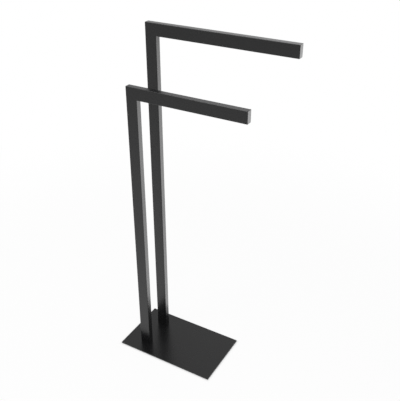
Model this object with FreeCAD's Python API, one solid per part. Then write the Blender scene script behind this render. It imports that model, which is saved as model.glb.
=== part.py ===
"""Freestanding towel stand: two cantilever frames of rectangular steel tube on a thin steel base.

Each frame is an upright and a level arm, mitred and welded at their corner, and its arm is
closed by a welded end plate. A steel block welded into the upright's foot takes the screws
that come up through the base plate. A rubber mat under the plate is what the stand rests on.
Every weld is a bead in a V groove, ground flush with the tube.

Millimetres. +Z is up and +X is the way the arms reach. The origin is the middle of the base
plate's outline, on the floor.
"""
import FreeCAD, Part

import math
import os

# Base plate
plate_length = 290.0            # along X
plate_depth = 175.0             # along Y
plate_thickness = 3.0
plate_corner_radius = 1.5
plate_edge_break = 0.3          # small bevel round both faces

# Anti-slip mat glued under the plate
mat_thickness = 1.0
mat_inset = 6.0                 # from the plate's outline
mat_corner_radius = 8.0
mat_window_margin = 1.5         # bare ring round each screw head

# Rectangular tube of both frames
bar_width = 30.0                # seen from the front, in the plane of the frame
bar_depth = 16.0                # along Y
bar_wall = 1.5
bar_corner_radius = 1.2
bore_corner_radius = 0.5

# The two frames: outside height above the plate, and outside reach of the arm from the
# upright's outer face to the arm's tip
front_height = 780.0
front_reach = 315.0
rear_height = 908.0
rear_reach = 385.0
frame_spacing = 89.0            # between the middle planes of the two frames
post_inset = 46.0               # from the plate's left edge to the uprights' outer faces

# Welds, in V grooves whose sides lean at 45 degrees
weld_root = 0.5                 # thickness of wall left square at the bottom of a groove

# End plate of an arm
end_plate_thickness = 2.0
end_plate_edge_break = 0.4

# Block in the foot of an upright
block_height = 18.0
block_clearance = 0.15          # to the bore, on each side
block_lead_in = 1.0             # bevel round the top, for driving it in
foot_weld_leg = 1.5
vent_diameter = 3.0             # lets hot air out of the closed frame as it is welded and coated

# Countersunk screws, two to each upright
screw_diameter = 4.0
screw_length = 16.0
screw_spacing = 14.0            # along X
screw_head_land = 0.3           # height of the head's straight rim
screw_tip_bevel = 0.4
screw_recess = 0.1              # of the head below the plate's underside
socket_width = 2.5              # across the flats of the hexagon socket
socket_depth = 1.5
countersink_clearance = 0.1
screw_hole_clearance = 0.25     # round the shank in the plate
thread_clearance = 0.05         # round the shank in the block
thread_lead_in = 0.5            # bevel at the mouth of each threaded hole

# Worked out from the sizes above
head_diameter = 2.0 * screw_diameter
plate_underside = mat_thickness
deck = plate_underside + plate_thickness
post_outer_x = post_inset - plate_length / 2.0
post_middle_x = post_outer_x + bar_width / 2.0
weld_depth = bar_wall - weld_root
screw_middles = [post_middle_x - screw_spacing / 2.0, post_middle_x + screw_spacing / 2.0]
frame_middles = {"front": -frame_spacing / 2.0, "rear": frame_spacing / 2.0}

vector = FreeCAD.Vector
up = vector(0, 0, 1)


def rounded_rectangle(length, depth, radius, height=0.0):
    """Level outline with rounded corners, centred on the Z axis."""
    arc_x = length / 2.0 - radius
    arc_y = depth / 2.0 - radius
    middles = [(arc_x, arc_y), (-arc_x, arc_y), (-arc_x, -arc_y), (arc_x, -arc_y)]
    arcs = []
    for quarter, (x, y) in enumerate(middles):
        circle = Part.Circle(vector(x, y, height), up, radius)
        start = quarter * math.pi / 2.0
        arcs.append(Part.ArcOfCircle(circle, start, start + math.pi / 2.0).toShape())
    edges = []
    for number, arc in enumerate(arcs):
        following = arcs[(number + 1) % len(arcs)]
        side = Part.LineSegment(arc.Vertexes[-1].Point, following.Vertexes[0].Point)
        edges.extend([arc, side.toShape()])
    return Part.Wire(edges)


def stacked(outlines):
    """Solid through level outlines, flat from each one to the next."""
    return Part.makeLoft(outlines, True, True)


def turned(profile, x, y, z):
    """Solid turned from (radius, height) points about the upright line through x and y."""
    points = [vector(radius, 0, height) for radius, height in profile]
    outline = Part.makePolygon(points + points[:1])
    solid = Part.Face(outline).revolve(vector(), up, 360)
    solid.translate(vector(x, y, z))
    return solid


def at_each_screw(make_piece):
    """Pieces made at the place of every base screw, in both frames."""
    return [make_piece(x, y) for y in frame_middles.values() for x in screw_middles]


# --- Base ---------------------------------------------------------------------------------


def countersink(x, y):
    """Space that a screw takes out of the plate, from below its underside to above its top."""
    rim = head_diameter / 2.0 + countersink_clearance
    hole = screw_diameter / 2.0 + screw_hole_clearance
    cone_start = screw_recess + screw_head_land
    cone_end = cone_start + rim - hole
    beyond = plate_thickness + head_diameter
    profile = [(0, -head_diameter), (rim, -head_diameter), (rim, cone_start),
               (hole, cone_end), (hole, beyond), (0, beyond)]
    return turned(profile, x, y, plate_underside)


def make_base_plate():
    """Flat steel plate with countersunk screw holes in its underside."""
    inner = (plate_length - 2.0 * plate_edge_break, plate_depth - 2.0 * plate_edge_break)
    inner_radius = plate_corner_radius - plate_edge_break
    outer = (plate_length, plate_depth, plate_corner_radius)
    plate = stacked([
        rounded_rectangle(*inner, inner_radius, plate_underside),
        rounded_rectangle(*outer, plate_underside + plate_edge_break),
        rounded_rectangle(*outer, deck - plate_edge_break),
        rounded_rectangle(*inner, inner_radius, deck),
    ])
    return plate.cut(at_each_screw(countersink))


def mat_window(x, y):
    """Round hole in the mat that leaves a screw head bare."""
    radius = head_diameter / 2.0 + mat_window_margin
    return Part.makeCylinder(radius, mat_thickness, vector(x, y, 0))


def make_anti_slip_mat():
    """Thin rubber sheet between the plate and the floor."""
    outline = rounded_rectangle(plate_length - 2.0 * mat_inset, plate_depth - 2.0 * mat_inset,
                                mat_corner_radius)
    sheet = Part.Face(outline).extrude(up * mat_thickness)
    return sheet.cut(at_each_screw(mat_window))


# --- One bar of a frame -------------------------------------------------------------------
# A bar hangs from the outside of its frame's corner, which is the origin here: its width runs
# from 0 along X, its depth is centred on Y, and its length runs down Z. An upright is such a
# bar. An arm is one too, mirrored in the plane of the mitre.


def bar_prism(inset, radius, length):
    """Solid bar whose section lies inside the tube's outline by the inset."""
    outline = rounded_rectangle(bar_width - 2.0 * inset, bar_depth - 2.0 * inset, radius, -length)
    prism = Part.Face(outline).extrude(up * length)
    prism.translate(vector(bar_width / 2.0, 0, 0))
    return prism


def layer(slope, upper, lower):
    """Slab wider than the bar, between planes that drop by upper and by lower at X = 0.

    The planes fall by the slope for each unit of X: 1 is the mitre, 0 is square to the bar.
    """
    margin = bar_width
    sides = (-margin, bar_width + margin)
    heights = [(x, -slope * x - drop) for x, drop in
               ((sides[0], upper), (sides[1], upper), (sides[1], lower), (sides[0], lower))]
    front = -bar_depth
    points = [vector(x, front, z) for x, z in heights]
    return Part.Face(Part.makePolygon(points + points[:1])).extrude(vector(0, -2.0 * front, 0))


def section_outline(inset, slope, drop):
    """Rectangle of the bar's section, inset, on a plane with the given slope and drop."""
    left, right = inset, bar_width - inset
    half = bar_depth / 2.0 - inset
    points = [vector(x, y, -slope * x - drop) for x, y in
              ((left, -half), (right, -half), (right, half), (left, half))]
    return Part.makePolygon(points + points[:1])


def groove_side(slope, joint, back):
    """Weld metal on one side of a joint: a ring from the groove's bottom out to the surface."""
    upper, lower = sorted((joint, back))
    slab = bar_prism(0, bar_corner_radius, lower + bar_width).common(layer(slope, upper, lower))
    core = stacked([section_outline(weld_depth, slope, joint), section_outline(0, slope, back)])
    return slab.cut(core)


def mitre_mirror(shape):
    """Mirror image in the plane of the mitre: swaps an upright for an arm."""
    return shape.mirror(vector(), vector(1, 0, 1))


def make_corner_weld():
    """Bead all round the mitre, ground flush."""
    post_side = groove_side(1, 0, weld_depth * math.sqrt(2.0))
    return post_side.fuse(mitre_mirror(post_side)).removeSplitter()


def mitred_tube(length, corner_weld):
    """Tube cut at 45 degrees at the corner and square at its far end."""
    solid = bar_prism(0, bar_corner_radius, length)
    tube = solid.cut(bar_prism(bar_wall, bore_corner_radius, length))
    beyond_mitre = layer(1, -2.0 * bar_width, 0)
    return tube.cut(beyond_mitre).cut(corner_weld)


# --- Closed tip of an arm, made on a hanging bar ------------------------------------------


def make_end_weld(joint):
    """Bead round the joint between the tube and its end plate, ground flush."""
    tube_side = groove_side(0, joint, joint - weld_depth)
    plate_side = groove_side(0, joint, joint + weld_depth)
    return tube_side.fuse(plate_side).removeSplitter()


def make_end_plate(joint, end_weld):
    """Flat plate across the tube's end, with its outer edges broken."""
    full = (bar_width, bar_depth, bar_corner_radius)
    broken = tuple(size - 2.0 * end_plate_edge_break for size in full[:2])
    broken_radius = bar_corner_radius - end_plate_edge_break
    tip = joint + end_plate_thickness
    plate = stacked([
        rounded_rectangle(*broken, broken_radius, -tip),
        rounded_rectangle(*full, -tip + end_plate_edge_break),
        rounded_rectangle(*full, -joint),
    ])
    plate.translate(vector(bar_width / 2.0, 0, 0))
    return plate.cut(end_weld)


# --- Foot of an upright, at z = 0 on the base plate, centred on the Z axis -----------------


def threaded_hole(x):
    """Space of one threaded hole, at its full diameter, with a bevelled mouth."""
    radius = screw_diameter / 2.0 + thread_clearance
    mouth = radius + thread_lead_in
    top = block_height + radius
    profile = [(0, -thread_lead_in), (mouth + thread_lead_in, -thread_lead_in),
               (radius, thread_lead_in), (radius, top), (0, top)]
    return turned(profile, x, 0, 0)


def block_outline(bevel, height):
    """Level outline of the block, as far in as a bevel takes it, clear of the bore's corners."""
    x = bar_width / 2.0 - bar_wall - block_clearance - bevel
    y = bar_depth / 2.0 - bar_wall - block_clearance - bevel
    corner = bore_corner_radius
    points = [vector(*point, height) for point in
              ((x, corner - y), (x, y - corner), (x - corner, y), (corner - x, y),
               (-x, y - corner), (-x, corner - y), (corner - x, -y), (x - corner, -y))]
    return Part.makePolygon(points + points[:1])


def make_foot_block():
    """Steel plug for the upright's bore, bevelled below for its weld and above to lead it in."""
    block = stacked([
        block_outline(foot_weld_leg, 0),
        block_outline(0, foot_weld_leg),
        block_outline(0, block_height - block_lead_in),
        block_outline(block_lead_in, block_height),
    ])
    vent = Part.makeCylinder(vent_diameter / 2.0, block_height)
    holes = [threaded_hole(side * screw_spacing / 2.0) for side in (-1, 1)]
    return block.cut(holes + [vent])


def make_foot_weld():
    """Bead between the block's lower bevel and the bore, ground flush with the upright's foot."""
    bore = rounded_rectangle(bar_width - 2.0 * bar_wall, bar_depth - 2.0 * bar_wall,
                             bore_corner_radius)
    filled = Part.Face(bore).extrude(up * foot_weld_leg)
    return filled.cut(stacked([block_outline(foot_weld_leg, 0), block_outline(0, foot_weld_leg)]))


# --- Screws -------------------------------------------------------------------------------


def make_base_screw(x, y):
    """Countersunk screw with a hexagon socket, its head in the plate and its tip in the block."""
    head = head_diameter / 2.0
    shank = screw_diameter / 2.0
    cone_end = screw_head_land + head - shank
    profile = [(0, 0), (head, 0), (head, screw_head_land), (shank, cone_end),
               (shank, screw_length - screw_tip_bevel),
               (shank - screw_tip_bevel, screw_length), (0, screw_length)]
    screw = turned(profile, 0, 0, 0)
    corner = socket_width / math.sqrt(3.0)
    angles = [number * math.pi / 3.0 for number in range(7)]
    hexagon = Part.makePolygon([vector(corner * math.cos(a), corner * math.sin(a), 0)
                                for a in angles])
    screw = screw.cut(Part.Face(hexagon).extrude(up * socket_depth))
    screw.translate(vector(x, y, plate_underside + screw_recess))
    return screw


# --- Assembly -----------------------------------------------------------------------------


def make_frame(side, height, reach):
    """All pieces of one frame in their places, by the names of their nodes."""
    corner_weld = make_corner_weld()
    post = mitred_tube(height, corner_weld)
    joint = reach - end_plate_thickness
    end_weld = make_end_weld(joint)
    arm_bar = mitred_tube(joint, corner_weld).cut(end_weld)
    corner_pieces = {
        "post": post,
        "corner_weld": corner_weld,
        "arm": mitre_mirror(arm_bar),
        "end_weld": mitre_mirror(end_weld),
        "end_plate": mitre_mirror(make_end_plate(joint, end_weld)),
    }
    foot_pieces = {"foot_block": make_foot_block(), "foot_weld": make_foot_weld()}

    frame_y = frame_middles[side]
    for piece in corner_pieces.values():
        piece.translate(vector(post_outer_x, frame_y, deck + height))
    for piece in foot_pieces.values():
        piece.translate(vector(post_middle_x, frame_y, deck))
    screws = Part.makeCompound([make_base_screw(x, frame_y) for x in screw_middles])

    pieces = {**corner_pieces, **foot_pieces, "base_screws": screws}
    return {side + "_" + name: piece for name, piece in pieces.items()}


nodes = {"base_plate": make_base_plate(), "anti_slip_mat": make_anti_slip_mat()}
nodes.update(make_frame("front", front_height, front_reach))
nodes.update(make_frame("rear", rear_height, rear_reach))

os.makedirs("parts", exist_ok=True)
for node_name, node_shape in nodes.items():
    node_shape.exportStep("parts/" + node_name + ".step")
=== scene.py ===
"""Looks of a freestanding towel stand: satin black powder-coated steel on a pale studio floor.

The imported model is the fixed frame. Its steelwork keeps its own shape and gets its finishes
here. The base screws and the rubber mat are modelled again, with rolled threads, sockets and
a studded underside. All lengths are metres, in the model's own frame: +Z is up and +X is the
way the arms reach.
"""
import logging
import math
from collections.abc import Callable
from dataclasses import dataclass, field
from enum import Enum

import bmesh
import bpy
from mathutils import Matrix, Vector


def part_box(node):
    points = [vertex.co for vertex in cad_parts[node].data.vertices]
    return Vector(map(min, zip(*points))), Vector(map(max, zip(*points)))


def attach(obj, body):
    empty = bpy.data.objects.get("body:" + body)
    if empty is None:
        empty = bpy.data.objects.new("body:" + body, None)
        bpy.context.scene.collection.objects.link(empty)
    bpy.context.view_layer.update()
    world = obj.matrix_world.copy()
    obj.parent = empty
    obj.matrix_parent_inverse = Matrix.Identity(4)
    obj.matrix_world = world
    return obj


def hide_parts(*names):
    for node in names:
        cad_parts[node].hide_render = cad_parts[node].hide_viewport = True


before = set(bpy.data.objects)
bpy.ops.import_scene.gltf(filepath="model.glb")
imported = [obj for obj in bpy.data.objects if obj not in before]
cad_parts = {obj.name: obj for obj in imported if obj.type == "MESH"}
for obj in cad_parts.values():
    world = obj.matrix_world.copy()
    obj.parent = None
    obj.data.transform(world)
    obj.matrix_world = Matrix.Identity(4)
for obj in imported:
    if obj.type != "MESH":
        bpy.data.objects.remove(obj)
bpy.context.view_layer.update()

log = logging.getLogger("towel_stand")

MM = 0.001
PHOTO_WIDTH_PX = 400
PHOTO_HEIGHT_PX = 401
BODY = "root"
WHITE = (1.0, 1.0, 1.0, 1.0)

# Sockets of a Mix node that blends two colours, which share their names with other sockets
MIX_FACTOR, MIX_FIRST, MIX_SECOND = 0, 6, 7
MIX_RESULT = 2


class Side(Enum):
    """The two frames, by where they stand on the base."""

    FRONT = "front"
    REAR = "rear"


class Slot(Enum):
    """The record's material slots of the pieces that are modelled here."""

    RUBBER = "black_rubber"
    ZINC = "zinc_plated_steel"


class Cut(Enum):
    """What a tool solid does to the piece that it meets."""

    REMOVE = "DIFFERENCE"
    ADD = "UNION"
    KEEP_INSIDE = "INTERSECT"


# --- Shader nodes --------------------------------------------------------------------------


def linear_colour(hex_text: str) -> tuple[float, float, float, float]:
    """Turns an sRGB hex colour into the linear colour that a shader takes.

    Args:
        hex_text: Colour as "#rrggbb".

    Returns:
        Linear red, green and blue, and an alpha of 1.
    """
    channels = [int(hex_text[start:start + 2], 16) / 255.0 for start in (1, 3, 5)]
    linear = [value / 12.92 if value <= 0.04045 else ((value + 0.055) / 1.055) ** 2.4
              for value in channels]
    return (*linear, 1.0)


def add_node(tree: bpy.types.NodeTree, kind: str, settings: dict | None = None,
             links: dict | None = None) -> bpy.types.Node:
    """Adds a shader node with its settings and its incoming links.

    Args:
        tree: Node tree that gets the node.
        kind: Blender's type name of the node.
        settings: Values by attribute name, or by the name or number of an input socket.
        links: Output sockets by the name or number of the input socket that they feed.

    Returns:
        The new node.
    """
    node = tree.nodes.new(kind)
    for key, value in (settings or {}).items():
        if isinstance(key, str) and hasattr(node, key):
            setattr(node, key, value)
        else:
            node.inputs[key].default_value = value
    for key, output in (links or {}).items():
        tree.links.new(output, node.inputs[key])
    return node


def new_material(name: str) -> tuple[bpy.types.Material, bpy.types.NodeTree, bpy.types.NodeSocket]:
    """Starts an empty node material.

    Args:
        name: The material's name.

    Returns:
        The material, its node tree and the Object coordinates to lay patterns with.
    """
    material = bpy.data.materials.new(name)
    material.use_nodes = True
    tree = material.node_tree
    tree.nodes.clear()
    coordinates = add_node(tree, "ShaderNodeTexCoord")
    return material, tree, coordinates.outputs["Object"]


def waves_per_metre(size: float) -> float:
    """Scale of a noise whose lumps are about this many metres across."""
    return 1.0 / size


# --- Finishes ------------------------------------------------------------------------------


@dataclass(frozen=True)
class PowderCoat:
    """Polyester powder coat, sprayed and stoved: satin, near black, with faint orange peel.

    The stoved film levels into low waves a few millimetres long, which soften and ripple what
    it mirrors. Its gloss wanders a little where the film is thicker or has been handled. The
    grain between the waves is drawn two to three times coarser than the real film's, so that
    it shows.
    """

    name: str = "powder_coat_satin_black"
    colour: str = "#0a0a0b"
    thick_film_colour: str = "#0e0e0f"
    roughness: float = 0.27
    roughness_wander: float = 0.02
    ior: float = 1.55
    patch_size: float = 60 * MM
    patch_detail: float = 3.0
    peel_size: float = 4.5 * MM
    peel_detail: float = 1.0
    peel_height: float = 0.04 * MM
    grain_size: float = 1.2 * MM
    grain_detail: float = 2.0
    grain_height: float = 0.012 * MM

    def build(self) -> bpy.types.Material:
        """Builds the material.

        Returns:
            The finished material.
        """
        material, tree, where = new_material(self.name)
        patches = add_node(tree, "ShaderNodeTexNoise",
                           {"Scale": waves_per_metre(self.patch_size),
                            "Detail": self.patch_detail}, {"Vector": where})
        peel = add_node(tree, "ShaderNodeTexNoise",
                        {"Scale": waves_per_metre(self.peel_size),
                         "Detail": self.peel_detail}, {"Vector": where})
        grain = add_node(tree, "ShaderNodeTexNoise",
                         {"Scale": waves_per_metre(self.grain_size),
                          "Detail": self.grain_detail}, {"Vector": where})
        colour = add_node(tree, "ShaderNodeMix",
                          {"data_type": "RGBA", MIX_FIRST: linear_colour(self.colour),
                           MIX_SECOND: linear_colour(self.thick_film_colour)},
                          {MIX_FACTOR: patches.outputs["Fac"]})
        gloss = add_node(tree, "ShaderNodeMapRange",
                         {"To Min": self.roughness - self.roughness_wander,
                          "To Max": self.roughness + self.roughness_wander},
                         {"Value": patches.outputs["Fac"]})
        peel_bump = add_node(tree, "ShaderNodeBump",
                             {"Strength": 1.0, "Distance": self.peel_height},
                             {"Height": peel.outputs["Fac"]})
        grain_bump = add_node(tree, "ShaderNodeBump",
                              {"Strength": 1.0, "Distance": self.grain_height},
                              {"Height": grain.outputs["Fac"], "Normal": peel_bump.outputs[0]})
        surface = add_node(tree, "ShaderNodeBsdfPrincipled", {"IOR": self.ior},
                           {"Base Color": colour.outputs[MIX_RESULT],
                            "Roughness": gloss.outputs[0], "Normal": grain_bump.outputs[0]})
        add_node(tree, "ShaderNodeOutputMaterial", None, {"Surface": surface.outputs[0]})
        return material


@dataclass(frozen=True)
class DrawnSteel:
    """Cold-drawn mild steel bar, left bare: grey, with fine draw lines along the bar.

    The die leaves straight streaks that stretch a highlight across them, and a light film of
    oil and handling leaves duller patches.
    """

    name: str = "mild_steel_cold_drawn"
    colour: str = "#a09d98"
    dull_colour: str = "#7d7a75"
    roughness: float = 0.34
    roughness_wander: float = 0.1
    line_width: float = 0.25 * MM
    line_detail: float = 3.0
    line_squeeze: float = 0.02      # scale of the pattern along the bar, which draws it out
    line_depth: float = 0.012 * MM
    patch_size: float = 5 * MM
    patch_detail: float = 4.0
    patch_raggedness: float = 0.6

    def build(self) -> bpy.types.Material:
        """Builds the material.

        Returns:
            The finished material.
        """
        material, tree, where = new_material(self.name)
        along_bar = add_node(tree, "ShaderNodeMapping", {"Scale": (1.0, 1.0, self.line_squeeze)},
                             {"Vector": where})
        lines = add_node(tree, "ShaderNodeTexNoise",
                         {"Scale": waves_per_metre(self.line_width),
                          "Detail": self.line_detail}, {"Vector": along_bar.outputs[0]})
        patches = add_node(tree, "ShaderNodeTexNoise",
                           {"Scale": waves_per_metre(self.patch_size),
                            "Detail": self.patch_detail, "Roughness": self.patch_raggedness},
                           {"Vector": where})
        colour = add_node(tree, "ShaderNodeMix",
                          {"data_type": "RGBA", MIX_FIRST: linear_colour(self.colour),
                           MIX_SECOND: linear_colour(self.dull_colour)},
                          {MIX_FACTOR: patches.outputs["Fac"]})
        gloss = add_node(tree, "ShaderNodeMapRange",
                         {"To Min": self.roughness - self.roughness_wander,
                          "To Max": self.roughness + self.roughness_wander},
                         {"Value": lines.outputs["Fac"]})
        bump = add_node(tree, "ShaderNodeBump", {"Strength": 1.0, "Distance": self.line_depth},
                        {"Height": lines.outputs["Fac"]})
        surface = add_node(tree, "ShaderNodeBsdfPrincipled", {"Metallic": 1.0},
                           {"Base Color": colour.outputs[MIX_RESULT],
                            "Roughness": gloss.outputs[0], "Normal": bump.outputs[0]})
        add_node(tree, "ShaderNodeOutputMaterial", None, {"Surface": surface.outputs[0]})
        return material


@dataclass(frozen=True)
class GroundWeld:
    """Mild steel weld bead, ground flush with a flap disc: bright, crossed by coarse scratches.

    The grit leaves short scratches in two directions. Straw and brown heat tints stay faintly
    in the steel between them.
    """

    name: str = "mild_steel_weld_ground"
    colour: str = "#b3afa8"
    heat_tint: str = "#8d8070"
    roughness: float = 0.42
    scratch_width: float = 0.3 * MM
    scratch_detail: float = 2.0
    scratch_squeeze: float = 0.08      # scale of the pattern along a scratch, which draws it out
    scratch_depth: float = 0.03 * MM
    scratch_turns: tuple[float, float] = (25.0, -50.0)
    tint_size: float = 4 * MM
    tint_detail: float = 2.0

    def build(self) -> bpy.types.Material:
        """Builds the material.

        Returns:
            The finished material.
        """
        material, tree, where = new_material(self.name)
        scratched = {}
        for degrees in self.scratch_turns:
            turned = add_node(tree, "ShaderNodeMapping",
                              {"Rotation": (0.0, 0.0, math.radians(degrees)),
                               "Scale": (self.scratch_squeeze, 1.0, 1.0)}, {"Vector": where})
            scratches = add_node(tree, "ShaderNodeTexNoise",
                                 {"Scale": waves_per_metre(self.scratch_width),
                                  "Detail": self.scratch_detail},
                                 {"Vector": turned.outputs[0]})
            bump = add_node(tree, "ShaderNodeBump",
                            {"Strength": 1.0, "Distance": self.scratch_depth},
                            {"Height": scratches.outputs["Fac"], **scratched})
            scratched = {"Normal": bump.outputs[0]}
        tint = add_node(tree, "ShaderNodeTexNoise",
                        {"Scale": waves_per_metre(self.tint_size),
                         "Detail": self.tint_detail}, {"Vector": where})
        colour = add_node(tree, "ShaderNodeMix",
                          {"data_type": "RGBA", MIX_FIRST: linear_colour(self.colour),
                           MIX_SECOND: linear_colour(self.heat_tint)},
                          {MIX_FACTOR: tint.outputs["Fac"]})
        surface = add_node(tree, "ShaderNodeBsdfPrincipled",
                           {"Metallic": 1.0, "Roughness": self.roughness},
                           {"Base Color": colour.outputs[MIX_RESULT], **scratched})
        add_node(tree, "ShaderNodeOutputMaterial", None, {"Surface": surface.outputs[0]})
        return material


@dataclass(frozen=True)
class ZincPlate:
    """Bright zinc plate with a clear blue passivation, on a cold-headed steel screw.

    The plate is a fine even crystal that gives a soft silver shine. The passivation shifts it
    from silver to a faint blue in small clouds. The crystals are drawn some ten times coarser
    than real ones, so that they show in a close view.
    """

    name: str = "zinc_plate_blue_passivated"
    colour: str = "#c3c6c9"
    passivated_colour: str = "#aab4c2"
    roughness: float = 0.3
    roughness_wander: float = 0.07
    cloud_size: float = 2.5 * MM
    cloud_detail: float = 4.0
    crystal_size: float = 0.12 * MM
    crystal_height: float = 0.002 * MM

    def build(self) -> bpy.types.Material:
        """Builds the material.

        Returns:
            The finished material.
        """
        material, tree, where = new_material(self.name)
        clouds = add_node(tree, "ShaderNodeTexNoise",
                          {"Scale": waves_per_metre(self.cloud_size),
                           "Detail": self.cloud_detail}, {"Vector": where})
        crystals = add_node(tree, "ShaderNodeTexVoronoi",
                            {"Scale": waves_per_metre(self.crystal_size)}, {"Vector": where})
        colour = add_node(tree, "ShaderNodeMix",
                          {"data_type": "RGBA", MIX_FIRST: linear_colour(self.colour),
                           MIX_SECOND: linear_colour(self.passivated_colour)},
                          {MIX_FACTOR: clouds.outputs["Fac"]})
        gloss = add_node(tree, "ShaderNodeMapRange",
                         {"To Min": self.roughness - self.roughness_wander,
                          "To Max": self.roughness + self.roughness_wander},
                         {"Value": clouds.outputs["Fac"]})
        bump = add_node(tree, "ShaderNodeBump",
                        {"Strength": 1.0, "Distance": self.crystal_height},
                        {"Height": crystals.outputs["Distance"]})
        surface = add_node(tree, "ShaderNodeBsdfPrincipled", {"Metallic": 1.0},
                           {"Base Color": colour.outputs[MIX_RESULT],
                            "Roughness": gloss.outputs[0], "Normal": bump.outputs[0]})
        add_node(tree, "ShaderNodeOutputMaterial", None, {"Surface": surface.outputs[0]})
        return material


@dataclass(frozen=True)
class MouldedRubber:
    """Black rubber sheet, moulded with studs: matt, with a fine grain and a grey bloom.

    The mould's blasted surface leaves an even grain. The bloom, of talc and wax, lies on it
    in soft clouds.
    """

    name: str = "rubber_moulded_black"
    colour: str = "#161616"
    bloom_colour: str = "#2b2b2a"
    roughness: float = 0.78
    ior: float = 1.52
    bloom_size: float = 18 * MM
    bloom_detail: float = 5.0
    bloom_raggedness: float = 0.6
    bloom_start: float = 0.45      # level of the cloud pattern at which the bloom begins
    bloom_full: float = 0.75       # level at which it is thickest
    bloom_share: float = 0.6       # of its colour, where it is thickest
    grain_size: float = 0.35 * MM
    grain_detail: float = 2.0
    grain_height: float = 0.03 * MM

    def build(self) -> bpy.types.Material:
        """Builds the material.

        Returns:
            The finished material.
        """
        material, tree, where = new_material(self.name)
        bloom = add_node(tree, "ShaderNodeTexNoise",
                         {"Scale": waves_per_metre(self.bloom_size),
                          "Detail": self.bloom_detail, "Roughness": self.bloom_raggedness},
                         {"Vector": where})
        grain = add_node(tree, "ShaderNodeTexNoise",
                         {"Scale": waves_per_metre(self.grain_size),
                          "Detail": self.grain_detail}, {"Vector": where})
        share = add_node(tree, "ShaderNodeMapRange",
                         {"From Min": self.bloom_start, "From Max": self.bloom_full,
                          "To Max": self.bloom_share}, {"Value": bloom.outputs["Fac"]})
        colour = add_node(tree, "ShaderNodeMix",
                          {"data_type": "RGBA", MIX_FIRST: linear_colour(self.colour),
                           MIX_SECOND: linear_colour(self.bloom_colour)},
                          {MIX_FACTOR: share.outputs[0]})
        bump = add_node(tree, "ShaderNodeBump",
                        {"Strength": 1.0, "Distance": self.grain_height},
                        {"Height": grain.outputs["Fac"]})
        surface = add_node(tree, "ShaderNodeBsdfPrincipled",
                           {"Roughness": self.roughness, "IOR": self.ior},
                           {"Base Color": colour.outputs[MIX_RESULT],
                            "Normal": bump.outputs[0]})
        add_node(tree, "ShaderNodeOutputMaterial", None, {"Surface": surface.outputs[0]})
        return material


# --- Modelling -----------------------------------------------------------------------------

WELD_DISTANCE = 0.0005 * MM      # points closer than this are one


def deselect_all() -> None:
    """Leaves edit mode and deselects every object."""
    if bpy.context.object and bpy.context.object.mode != "OBJECT":
        bpy.ops.object.mode_set(mode="OBJECT")
    bpy.ops.object.select_all(action="DESELECT")


def select_only(piece: bpy.types.Object) -> None:
    """Makes one piece the active and only selected object.

    Args:
        piece: The piece to select.
    """
    deselect_all()
    bpy.context.view_layer.objects.active = piece
    piece.select_set(True)


def edit(piece: bpy.types.Object) -> None:
    """Opens one piece in edit mode with all of its faces selected.

    Args:
        piece: The piece to edit.
    """
    select_only(piece)
    bpy.ops.object.mode_set(mode="EDIT")
    bpy.ops.mesh.select_mode(type="FACE")
    bpy.ops.mesh.select_all(action="SELECT")


def select_edges(piece: bpy.types.Object, rule: Callable[[bmesh.types.BMEdge], bool]) -> None:
    """Selects the edges of the piece in edit mode that pass a rule.

    Args:
        piece: The piece that is being edited.
        rule: Says of an edge whether it is selected.
    """
    bpy.ops.mesh.select_mode(type="EDGE")
    bpy.ops.mesh.select_all(action="DESELECT")
    mesh = bmesh.from_edit_mesh(piece.data)
    for edge in mesh.edges:
        edge.select_set(rule(edge))
    mesh.select_flush_mode()
    bmesh.update_edit_mesh(piece.data)


def extrude_up(height: float, width_factor: float = 1.0) -> None:
    """Extrudes the selected faces along Z and widens or narrows their new end.

    Args:
        height: How far the new end lies from the old one.
        width_factor: Width of the new end as a share of the old one.
    """
    bpy.ops.mesh.extrude_region_move(TRANSFORM_OT_translate={"value": (0, 0, height)})
    bpy.ops.transform.resize(value=(width_factor, width_factor, 1.0))


def add_disc(radius: float, x: float, y: float, z: float, corners: int) -> bpy.types.Object:
    """Adds a level disc and opens it in edit mode, to be extruded into a turned shape.

    Args:
        radius: Distance from the middle to each corner.
        x: Place of the middle.
        y: Place of the middle.
        z: Height of the disc.
        corners: Number of corners.

    Returns:
        The disc.
    """
    deselect_all()
    bpy.ops.mesh.primitive_circle_add(vertices=corners, radius=radius, fill_type="NGON",
                                      location=(x, y, z))
    disc = bpy.context.object
    edit(disc)
    return disc


def apply_modifier(piece: bpy.types.Object, kind: str, **settings: object) -> None:
    """Adds a modifier to a piece and applies it.

    Args:
        piece: The piece to change.
        kind: Blender's type name of the modifier.
        **settings: Values by attribute name.
    """
    select_only(piece)
    modifier = piece.modifiers.new(kind.lower(), kind)
    for key, value in settings.items():
        setattr(modifier, key, value)
    bpy.ops.object.modifier_apply(modifier=modifier.name)


def cut_with(piece: bpy.types.Object, tool: bpy.types.Object, cut: Cut) -> None:
    """Cuts a piece with a tool solid and removes the tool.

    Args:
        piece: The closed piece to change.
        tool: The closed solid that cuts it.
        cut: What the tool does.
    """
    apply_modifier(piece, "BOOLEAN", operation=cut.value, solver="EXACT", object=tool)
    bpy.data.objects.remove(tool, do_unlink=True)


def finish_mesh(piece: bpy.types.Object, smooth_below: float = 35.0) -> None:
    """Welds doubles, turns faces outwards, applies the piece's place and shades it.

    Args:
        piece: The piece to finish.
        smooth_below: Angle between two faces, in degrees, up to which their edge is smooth.
    """
    edit(piece)
    bpy.ops.mesh.remove_doubles(threshold=WELD_DISTANCE)
    bpy.ops.mesh.normals_make_consistent(inside=False)
    bpy.ops.object.mode_set(mode="OBJECT")
    bpy.ops.object.transform_apply(location=True, rotation=True, scale=True)
    bpy.ops.object.shade_smooth_by_angle(angle=math.radians(smooth_below))


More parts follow.
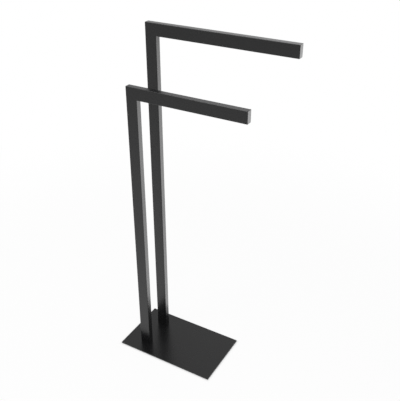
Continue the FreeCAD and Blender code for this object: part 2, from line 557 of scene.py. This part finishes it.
def give(piece: bpy.types.Object, material: bpy.types.Material) -> None:
    """Puts one material on the whole of a piece."""
    piece.data.materials.clear()
    piece.data.materials.append(material)


def mount_piece(piece: bpy.types.Object, name: str, material: bpy.types.Material,
                stands_for: str) -> None:
    """Names a new piece, dresses it, ties it to the body, and hides the node that it stands for.

    Args:
        piece: The finished piece.
        name: The piece's name.
        material: Its finish.
        stands_for: Node that the piece replaces.
    """
    piece.name = name
    piece.data.name = name
    give(piece, material)
    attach(piece, BODY)
    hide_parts(stands_for)
    log.info("%s: %d faces, stands for %s", name, len(piece.data.polygons), stands_for)


def dress_nodes(names: list[str], material: bpy.types.Material) -> None:
    """Gives carried-over nodes their finish.

    Args:
        names: Nodes to dress.
        material: Their finish.
    """
    for name in names:
        give(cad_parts[name], material)
        log.info("%s: dressed in %s", name, material.name)


# --- The stand -----------------------------------------------------------------------------


@dataclass
class Base:
    """The coated plate that both frames stand on."""

    coat: bpy.types.Material
    node: str = "base_plate"

    def build(self) -> None:
        """Dresses the plate."""
        dress_nodes([self.node], self.coat)


@dataclass
class ArmFrame:
    """One upright with its arm: mitred, welded, closed at the tip, and coated as one."""

    side: Side
    coat: bpy.types.Material
    coated_parts: tuple[str, ...] = ("post", "corner_weld", "arm", "end_weld", "end_plate")

    def build(self) -> None:
        """Dresses every coated piece of the frame."""
        dress_nodes([f"{self.side.value}_{part}" for part in self.coated_parts], self.coat)


@dataclass
class FootFixing:
    """What the screws of an upright bite into: a steel block, welded into the tube's foot."""

    side: Side
    steel: bpy.types.Material
    weld: bpy.types.Material

    def build(self) -> None:
        """Dresses the block and the bead that holds it."""
        dress_nodes([f"{self.side.value}_foot_block"], self.steel)
        dress_nodes([f"{self.side.value}_foot_weld"], self.weld)


@dataclass
class BaseScrews:
    """The countersunk screws: cold-headed, with a hexagon socket and a rolled thread.

    One screw is modelled standing on its head at the origin, and copied to every place.
    """

    zinc: bpy.types.Material
    shank_diameter: float = 4.0 * MM
    pitch: float = 0.7 * MM
    crest_share: float = 1.0 / 8.0      # flat top of the thread, as a share of the pitch
    root_share: float = 1.0 / 4.0       # flat bottom, likewise
    flank_angle: float = 30.0
    spare_turns: float = 2.0            # of thread, drawn before the shank's start
    buried_turns: float = 0.5           # of them, left in the head's cone when the rest is cut
    head_land: float = 0.3 * MM         # height of the rim's straight side
    head_edge: float = 0.08 * MM
    head_edge_steps: int = 2
    socket_width: float = 2.5 * MM
    socket_sides: int = 6
    socket_depth: float = 1.5 * MM
    socket_drill_depth: float = 0.35 * MM
    socket_drill_end: float = 0.15      # width of the drilled cone's end, as a share of its mouth
    socket_mouth: float = 0.12 * MM
    tip_bevel: float = 0.4 * MM
    steps: int = 48                     # round the screw
    socket_turns: dict[Side, tuple[float, float]] = field(default_factory=lambda: {
        Side.FRONT: (12.0, 41.0), Side.REAR: (27.0, 3.0)})

    def build(self) -> None:
        """Models one screw and puts a copy of it at each place."""
        pattern = self._screw()
        for side in Side:
            node = f"{side.value}_base_screws"
            low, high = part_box(node)
            head_radius = (high.y - low.y) / 2.0
            places = {"left": low.x + head_radius, "right": high.x - head_radius}
            for (hand, x), turn in zip(places.items(), self.socket_turns[side]):
                screw = pattern.copy()
                screw.data = pattern.data.copy()
                bpy.context.scene.collection.objects.link(screw)
                screw.data.transform(Matrix.Translation((x, (low.y + high.y) / 2.0, low.z))
                                     @ Matrix.Rotation(math.radians(turn), 4, "Z"))
                mount_piece(screw, f"{side.value}_base_screw_{hand}", self.zinc, node)
        bpy.data.objects.remove(pattern, do_unlink=True)

    def _screw(self) -> bpy.types.Object:
        """Models one screw.

        Returns:
            The screw, head down at the origin.
        """
        low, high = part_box(f"{Side.FRONT.value}_base_screws")
        head_radius, length = (high.y - low.y) / 2.0, high.z - low.z
        shank_start = self.head_land + head_radius - self.shank_diameter / 2.0
        screw = self._head(head_radius)
        cut_with(screw, self._thread(shank_start, length), Cut.ADD)
        cut_with(screw, self._socket(), Cut.REMOVE)
        cut_with(screw, self._socket_bevel(), Cut.REMOVE)
        finish_mesh(screw)
        return screw

    def _flank(self) -> float:
        """Length along the screw of one flank of the thread."""
        return self.pitch * (1.0 - self.crest_share - self.root_share) / 2.0

    def _root_radius(self) -> float:
        """Radius of the bottom of the thread, from the lean of its flanks."""
        depth = self._flank() / math.tan(math.radians(self.flank_angle))
        return self.shank_diameter / 2.0 - depth

    def _head(self, head_radius: float) -> bpy.types.Object:
        """Models the head: its straight rim, its cone, and a core that ends in the shank.

        Args:
            head_radius: Radius of the rim.

        Returns:
            The closed head.
        """
        core = self._root_radius() - self.tip_bevel
        head = add_disc(head_radius, 0, 0, 0, self.steps)
        # Turned by half a step, so that no edge of the cone runs through a corner of the thread
        bpy.ops.transform.rotate(value=math.pi / self.steps, orient_axis="Z")
        extrude_up(self.head_land)
        extrude_up(head_radius - core, core / head_radius)
        extrude_up(self.pitch)
        select_edges(head, lambda edge: max(end.co.z for end in edge.verts) < self.head_edge)
        bpy.ops.mesh.bevel(offset=self.head_edge, segments=self.head_edge_steps, affect="EDGES")
        finish_mesh(head)
        return head

    def _thread(self, start: float, length: float) -> bpy.types.Object:
        """Models the threaded shank, with its tip bevelled.

        Args:
            start: Height at which the head's cone meets the shank.
            length: Height of the screw's tip.

        Returns:
            The closed threaded shank.
        """
        crest, root = self.shank_diameter / 2.0, self._root_radius()
        root_end = self.pitch * self.root_share
        crest_start = root_end + self._flank()
        first_turn = start - self.spare_turns * self.pitch
        ridge = [(root, 0.0), (root, root_end), (crest, crest_start),
                 (crest, crest_start + self.pitch * self.crest_share), (root, self.pitch)]
        shank = self._line([(radius, first_turn + height) for radius, height in ridge])
        turns = math.ceil((length - first_turn) / self.pitch) + 1
        apply_modifier(shank, "SCREW", axis="Z", angle=math.tau, screw_offset=self.pitch,
                       iterations=turns, steps=self.steps, render_steps=self.steps)
        edit(shank)
        bpy.ops.mesh.remove_doubles(threshold=WELD_DISTANCE)
        for height, way in ((start - self.buried_turns * self.pitch, -1), (length, 1)):
            bpy.ops.mesh.select_all(action="SELECT")
            bpy.ops.mesh.bisect(plane_co=(0, 0, height), plane_no=(0, 0, way), use_fill=True,
                                clear_outer=True, threshold=WELD_DISTANCE)
        finish_mesh(shank)
        cut_with(shank, self._tip_space(length), Cut.KEEP_INSIDE)
        return shank

    def _line(self, points: list[tuple[float, float]]) -> bpy.types.Object:
        """Draws the outline of one turn of the thread by extruding a single point.

        Args:
            points: Radius and height of each point of the outline.

        Returns:
            The line, as a mesh of edges in the XZ plane.
        """
        deselect_all()
        bpy.ops.mesh.primitive_plane_add(size=self.pitch, location=(0, 0, 0))
        line = bpy.context.object
        edit(line)
        bpy.ops.mesh.select_mode(type="VERT")
        bpy.ops.mesh.merge(type="CENTER")
        bpy.ops.transform.translate(value=(points[0][0], 0, points[0][1]))
        for (radius, height), (next_radius, next_height) in zip(points, points[1:]):
            step = (next_radius - radius, 0, next_height - height)
            bpy.ops.mesh.extrude_region_move(TRANSFORM_OT_translate={"value": step})
        bpy.ops.object.mode_set(mode="OBJECT")
        return line

    def _tip_space(self, length: float) -> bpy.types.Object:
        """Makes the space that the shank keeps to: wide, and a 45-degree cone at its tip.

        Args:
            length: Height of the screw's tip.

        Returns:
            The closed tool.
        """
        wide = self.shank_diameter
        beyond = 0.5 * self.tip_bevel
        narrow = self.shank_diameter / 2.0 - self.tip_bevel - beyond
        cone = wide - narrow
        space = add_disc(wide, 0, 0, 0, self.steps)
        extrude_up(length + beyond - cone)
        extrude_up(cone, narrow / wide)
        finish_mesh(space)
        return space

    def _socket(self) -> bpy.types.Object:
        """Makes the hexagon socket's space, with the drill's cone at its bottom.

        Returns:
            The closed tool.
        """
        corner = self.socket_width / math.sqrt(3.0)
        socket = add_disc(corner, 0, 0, -self.head_land, self.socket_sides)
        extrude_up(self.head_land + self.socket_depth)
        extrude_up(self.socket_drill_depth, self.socket_drill_end)
        finish_mesh(socket)
        return socket

    def _socket_bevel(self) -> bpy.types.Object:
        """Makes the shallow 45-degree cone that breaks the socket's mouth.

        Returns:
            The closed tool.
        """
        corner = self.socket_width / math.sqrt(3.0)
        wide, narrow = corner + 2.0 * self.socket_mouth, corner - self.socket_mouth
        cone = add_disc(wide, 0, 0, -self.socket_mouth, self.steps)
        extrude_up(wide - narrow, narrow / wide)
        finish_mesh(cone)
        return cone


@dataclass
class AntiSlipMat:
    """Rubber sheet glued under the plate: studs underneath, and windows round the screws."""

    rubber: bpy.types.Material
    node: str = "anti_slip_mat"
    corner_radius: float = 8.0 * MM
    corner_steps: int = 12
    window_margin: float = 1.5 * MM
    window_steps: int = 48
    tool_depth: float = 3.0      # of the solids that cut the mat, in thicknesses of the mat
    stud_spacing: float = 6.0 * MM
    stud_gap: float = 1.8 * MM        # between two studs at their roots
    stud_taper: float = 0.35 * MM     # lean of each side over the stud's height
    stud_height: float = 0.4 * MM
    smooth_below: float = 20.0

    def build(self) -> None:
        """Models the mat and puts it in place of its plain node."""
        low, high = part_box(self.node)
        mat = self._studded_sheet(low, high)
        cut_with(mat, self._outline(low, high), Cut.KEEP_INSIDE)
        for side in Side:
            for window in self._windows(side, low, high):
                cut_with(mat, window, Cut.REMOVE)
        finish_mesh(mat, self.smooth_below)
        mount_piece(mat, "anti_slip_mat_studded", self.rubber, self.node)

    def _studded_sheet(self, low: Vector, high: Vector) -> bpy.types.Object:
        """Models a sheet larger than the mat, with square studs all over its underside.

        Args:
            low: Lowest corner of the mat.
            high: Highest corner of the mat.

        Returns:
            The closed sheet.
        """
        across = math.ceil((high.x - low.x) / self.stud_spacing) + 1
        along = math.ceil((high.y - low.y) / self.stud_spacing) + 1
        middle = (low + high) / 2.0
        web = low.z + self.stud_height
        deselect_all()
        bpy.ops.mesh.primitive_grid_add(x_subdivisions=across, y_subdivisions=along,
                                        size=self.stud_spacing,
                                        location=(middle.x, middle.y, web))
        sheet = bpy.context.object
        edit(sheet)
        bpy.ops.transform.resize(value=(across, along, 1.0))
        bpy.ops.mesh.flip_normals()
        bpy.ops.mesh.inset(thickness=self.stud_gap / 2.0, use_individual=True)
        bpy.ops.mesh.inset(thickness=self.stud_taper, depth=self.stud_height,
                           use_individual=True)
        select_edges(sheet, lambda edge: edge.is_boundary)
        bpy.ops.mesh.extrude_region_move(TRANSFORM_OT_translate={"value": (0, 0, high.z - web)})
        bpy.ops.mesh.edge_face_add()
        finish_mesh(sheet, self.smooth_below)
        return sheet

    def _outline(self, low: Vector, high: Vector) -> bpy.types.Object:
        """Models a block with the mat's outline and its rounded corners.

        Args:
            low: Lowest corner of the mat.
            high: Highest corner of the mat.

        Returns:
            The closed block, deeper than the mat.
        """
        size = high - low
        deselect_all()
        bpy.ops.mesh.primitive_cube_add(size=1.0, location=(low + high) / 2.0)
        block = bpy.context.object
        edit(block)
        bpy.ops.transform.resize(value=(size.x, size.y, self.tool_depth * size.z))
        select_edges(block, lambda edge: abs(edge.verts[0].co.z - edge.verts[1].co.z) > size.z)
        bpy.ops.mesh.bevel(offset=self.corner_radius, segments=self.corner_steps,
                           affect="EDGES")
        finish_mesh(block, self.smooth_below)
        return block

    def _windows(self, side: Side, low: Vector, high: Vector) -> list[bpy.types.Object]:
        """Models the round windows under one upright's screws.

        Args:
            side: Whose screws they are.
            low: Lowest corner of the mat.
            high: Highest corner of the mat.

        Returns:
            Closed cylinders, deeper than the mat.
        """
        screws_low, screws_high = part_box(f"{side.value}_base_screws")
        head_radius = (screws_high.y - screws_low.y) / 2.0
        middle_y = (screws_low.y + screws_high.y) / 2.0
        thickness = high.z - low.z
        windows = []
        for x in (screws_low.x + head_radius, screws_high.x - head_radius):
            window = add_disc(head_radius + self.window_margin, x, middle_y, low.z - thickness,
                              self.window_steps)
            extrude_up(self.tool_depth * thickness)
            finish_mesh(window, self.smooth_below)
            windows.append(window)
        return windows


# --- Studio --------------------------------------------------------------------------------


@dataclass(frozen=True)
class Camera:
    """The photograph's camera: where it looks, from which side, and with which lens."""

    target: tuple[float, float, float] = (0.1004, -0.0525, 0.53694)
    azimuth: float = 30.0
    elevation: float = 30.0
    distance: float = 1.43913
    lens_px: float = 607.69
    sensor_mm: float = 36.0
    nearest: float = 0.01

    def place(self) -> None:
        """Puts the camera in the scene."""
        turn, tilt = math.radians(self.azimuth), math.radians(self.elevation)
        back = Vector((math.sin(turn) * math.cos(tilt), -math.cos(turn) * math.cos(tilt),
                       math.sin(tilt)))
        data = bpy.data.cameras.new("camera")
        data.sensor_width = self.sensor_mm
        data.lens = self.lens_px * self.sensor_mm / max(PHOTO_WIDTH_PX, PHOTO_HEIGHT_PX)
        data.clip_start = self.nearest
        camera = bpy.data.objects.new("camera", data)
        camera.location = Vector(self.target) + back * self.distance
        camera.rotation_euler = back.to_track_quat("Z", "Y").to_euler()
        bpy.context.scene.collection.objects.link(camera)
        bpy.context.scene.camera = camera


FACE_DOWN, FACE_UP = 0.0, math.pi      # turns of a lamp about X


def place_lamp(data: bpy.types.AreaLight, place: tuple[float, float, float],
               tilt: float) -> None:
    """Puts a lamp in the scene, out of the camera's sight.

    Args:
        data: The lamp.
        place: Where its middle is.
        tilt: Turn about X, from shining straight down.
    """
    lamp = bpy.data.objects.new(data.name, data)
    lamp.location = place
    lamp.rotation_euler = (tilt, 0, 0)
    lamp.visible_camera = False
    bpy.context.scene.collection.objects.link(lamp)


@dataclass(frozen=True)
class FloorPanel:
    """Light panel that lies face up on the floor behind the stand, for the steel to mirror."""

    name: str
    low: tuple[float, float]
    high: tuple[float, float]
    radiance: float
    height: float = 0.001

    def lay(self) -> None:
        """Puts the panel in the scene."""
        data = bpy.data.lights.new(self.name, "AREA")
        data.shape = "RECTANGLE"
        data.size = self.high[0] - self.low[0]
        data.size_y = self.high[1] - self.low[1]
        data.energy = self.radiance * math.pi * data.size * data.size_y
        middle = [(low + high) / 2.0 for low, high in zip(self.low, self.high)]
        place_lamp(data, (*middle, self.height), FACE_UP)


@dataclass(frozen=True)
class Studio:
    """Pale floor without an edge, a white surround that dims overhead and left, and soft lamps."""

    floor_radius: float = 12.0
    floor_corners: int = 96
    floor_colour: str = "#e8e8e8"
    contact_inside: float = 0.004      # this far under the plate the floor is all shaded
    contact_outside: float = 0.008     # this far beside it, near_share of the floor is white
    near_share: float = 0.9
    near_radius: float = 0.5           # more and more of the floor is white from here
    far_radius: float = 1.6            # all of it is white from here
    # Painted light: near the stand the floor glows white for the steel's reflections only. This
    # painted pool of light fades out between the two distances below.
    painted_glow_share: float = 0.8        # white that the steel mirrors in the floor by the stand
    painted_glow_start: float = 0.1        # that white fades from here
    painted_glow_end: float = 0.9          # it is gone from here
    # Height of a direction, from level to straight up, and the light from there
    surround: tuple[tuple[float, float], ...] = ((0.0, 1.05), (0.24, 1.42), (0.36, 0.84),
                                                 (0.68, 0.71), (1.0, 0.3))
    dim_side_full: float = -0.6        # X of the directions that are dimmed in full
    dim_side_start: float = -0.3       # X of those at which the dimming starts
    dim_side_level: float = 0.68
    overhead_power: float = 24.0
    overhead_size: float = 1.4
    overhead_at: tuple[float, float, float] = (-0.1, -0.35, 2.1)
    panels: tuple[FloorPanel, ...] = (
        FloorPanel("near_panel", (-0.1, 0.12), (2.3, 0.7), 1.45),
        FloorPanel("far_panel", (-0.1, 0.7), (2.3, 3.6), 2.0))

    def build(self) -> None:
        """Makes the floor, the surround and the lamps."""
        self._surround()
        self._floor()
        self._overhead_softbox()
        for panel in self.panels:
            panel.lay()

    def _surround(self) -> None:
        """Lights the steel from a surround that is brightest low down, and shows it as white."""
        world = bpy.data.worlds.new("surround")
        world.use_nodes = True
        tree = world.node_tree
        tree.nodes.clear()
        path = add_node(tree, "ShaderNodeLightPath")
        direction = add_node(tree, "ShaderNodeTexCoord")
        split = add_node(tree, "ShaderNodeSeparateXYZ", None, {0: direction.outputs["Generated"]})
        ramp = add_node(tree, "ShaderNodeValToRGB", None, {0: split.outputs["Z"]})
        stops = ramp.color_ramp.elements
        while len(stops) < len(self.surround):
            stops.new(0.5)      # anywhere between the two ends, until its height is set below
        for stop, (height, level) in zip(stops, self.surround):
            stop.position = height
            stop.color = (level, level, level, 1.0)
        side = add_node(tree, "ShaderNodeMapRange",
                        {"From Min": self.dim_side_full, "From Max": self.dim_side_start,
                         "To Min": self.dim_side_level, "To Max": 1.0,
                         "interpolation_type": "SMOOTHSTEP"}, {"Value": split.outputs["X"]})
        lit = add_node(tree, "ShaderNodeBackground", None,
                       {"Color": ramp.outputs[0], "Strength": side.outputs[0]})
        shown = add_node(tree, "ShaderNodeBackground", {"Color": WHITE, "Strength": 1.0})
        mix = add_node(tree, "ShaderNodeMixShader", None,
                       {0: path.outputs["Is Camera Ray"], 1: lit.outputs[0], 2: shown.outputs[0]})
        add_node(tree, "ShaderNodeOutputWorld", None, {"Surface": mix.outputs[0]})
        bpy.context.scene.world = world

    def _floor(self) -> None:
        """Lays the floor: shaded where the stand meets it, and white further out."""
        deselect_all()
        bpy.ops.mesh.primitive_circle_add(vertices=self.floor_corners, radius=self.floor_radius,
                                          fill_type="NGON", location=(0, 0, 0))
        floor = bpy.context.object
        floor.name = "studio_floor"
        material, tree, where = new_material("floor_white")
        path = add_node(tree, "ShaderNodeLightPath")
        away = add_node(tree, "ShaderNodeVectorMath", {"operation": "LENGTH"}, {0: where})
        beside = add_node(tree, "ShaderNodeMapRange",
                          {"From Min": -self.contact_inside, "From Max": self.contact_outside,
                           "To Max": self.near_share, "interpolation_type": "SMOOTHSTEP"},
                          {"Value": self._distance_from_plate(tree, where)})
        white = add_node(tree, "ShaderNodeMapRange",
                         {"From Min": self.near_radius, "From Max": self.far_radius,
                          "To Max": 1.0, "interpolation_type": "SMOOTHSTEP"},
                         {"Value": away.outputs["Value"], "To Min": beside.outputs[0]})
        seen = add_node(tree, "ShaderNodeMath", {"operation": "MULTIPLY"},
                        {0: white.outputs[0], 1: path.outputs["Is Camera Ray"]})
        # Painted light: in the steel's reflections the floor near the stand shows painted white
        # glow, which fades with distance from the stand
        painted_glow = add_node(tree, "ShaderNodeMapRange",
                          {"From Min": self.painted_glow_start, "From Max": self.painted_glow_end,
                           "To Min": self.painted_glow_share, "To Max": 0.0,
                           "interpolation_type": "SMOOTHSTEP"},
                          {"Value": away.outputs["Value"]})
        mirrored = add_node(tree, "ShaderNodeMath", {"operation": "MAXIMUM"},
                            {0: path.outputs["Is Glossy Ray"],
                             1: path.outputs["Is Transmission Ray"]})
        share = add_node(tree, "ShaderNodeMath", {"operation": "MULTIPLY_ADD"},
                         {0: mirrored.outputs[0], 1: painted_glow.outputs[0], 2: seen.outputs[0]})
        lit = add_node(tree, "ShaderNodeBsdfDiffuse", {"Color": linear_colour(self.floor_colour)})
        shown = add_node(tree, "ShaderNodeEmission", {"Color": WHITE, "Strength": 1.0})
        mix = add_node(tree, "ShaderNodeMixShader", None,
                       {0: share.outputs[0], 1: lit.outputs[0], 2: shown.outputs[0]})
        add_node(tree, "ShaderNodeOutputMaterial", None, {"Surface": mix.outputs[0]})
        give(floor, material)

    def _distance_from_plate(self, tree: bpy.types.NodeTree,
                             where: bpy.types.NodeSocket) -> bpy.types.NodeSocket:
        """Measures how far a point of the floor lies outside the plate's outline.

        Args:
            tree: Node tree of the floor's material.
            where: The floor's Object coordinates.

        Returns:
            The distance, which is negative under the plate.
        """
        low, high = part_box("base_plate")
        centred = add_node(tree, "ShaderNodeVectorMath",
                           {"operation": "SUBTRACT", 1: (low + high) / 2.0}, {0: where})
        folded = add_node(tree, "ShaderNodeVectorMath", {"operation": "ABSOLUTE"},
                          {0: centred.outputs[0]})
        beyond = add_node(tree, "ShaderNodeVectorMath",
                          {"operation": "SUBTRACT", 1: (high - low) / 2.0},
                          {0: folded.outputs[0]})
        split = add_node(tree, "ShaderNodeSeparateXYZ", None, {0: beyond.outputs[0]})
        farther = add_node(tree, "ShaderNodeMath", {"operation": "MAXIMUM"},
                           {0: split.outputs["X"], 1: split.outputs["Y"]})
        return farther.outputs[0]

    def _overhead_softbox(self) -> None:
        """Hangs a square softbox over the stand, a little in front of it."""
        data = bpy.data.lights.new("overhead_softbox", "AREA")
        data.shape = "SQUARE"
        data.size = self.overhead_size
        data.energy = self.overhead_power
        place_lamp(data, self.overhead_at, FACE_DOWN)


def main() -> None:
    """Sets the studio, dresses the steelwork and models the screws and the mat."""
    logging.basicConfig(level=logging.INFO, format="%(message)s")
    bpy.context.scene.view_settings.view_transform = "Standard"
    Camera().place()
    Studio().build()
    coat = PowderCoat().build()
    steel = DrawnSteel().build()
    weld = GroundWeld().build()
    Base(coat).build()
    for side in Side:
        ArmFrame(side, coat).build()
        FootFixing(side, steel, weld).build()
    BaseScrews(ZincPlate().build()).build()
    AntiSlipMat(MouldedRubber().build()).build()


if __name__ == "__main__":
    main()
